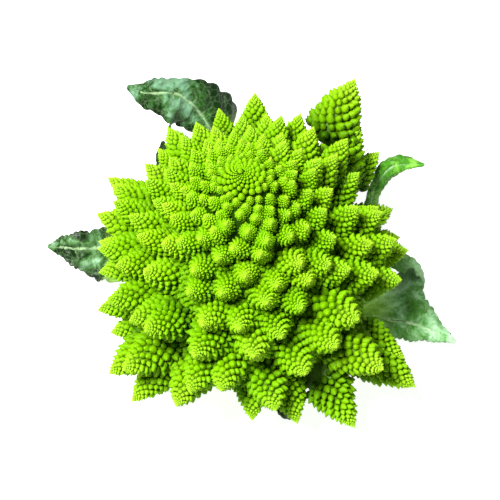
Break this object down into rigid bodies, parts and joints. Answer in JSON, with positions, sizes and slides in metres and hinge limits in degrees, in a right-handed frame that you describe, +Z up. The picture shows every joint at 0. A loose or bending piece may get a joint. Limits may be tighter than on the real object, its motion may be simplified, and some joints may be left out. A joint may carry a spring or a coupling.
{
  "type": "romanesco head",
  "caption": "Romanesco head with cone-shaped florets of spiralling buds, on its cut stalk, with the small grey-green leaves left round it.",
  "frame": {"origin": "middle of the stalk's flat cut foot", "axes": "+Z up along the stalk to the head's apex, -Y the side that faces the picture's camera, +X to the picture's right"},
  "size_m": [0.1968, 0.1747, 0.136],
  "materials": {
    "curd": "satin, bright yellow-green",
    "stalk": "satin, pale green",
    "leaf": "matte, grey-green with a waxy bloom"
  },
  "bodies": {
    "root": {"curd": "curd", "stalk": "stalk", "leaf_back_left": "leaf", "leaf_back_left_small": "leaf", "leaf_left": "leaf", "leaf_upper_right": "leaf", "leaf_right": "leaf", "leaf_right_under": "leaf", "leaf_front_small": "leaf"}
  },
  "joints": []
}
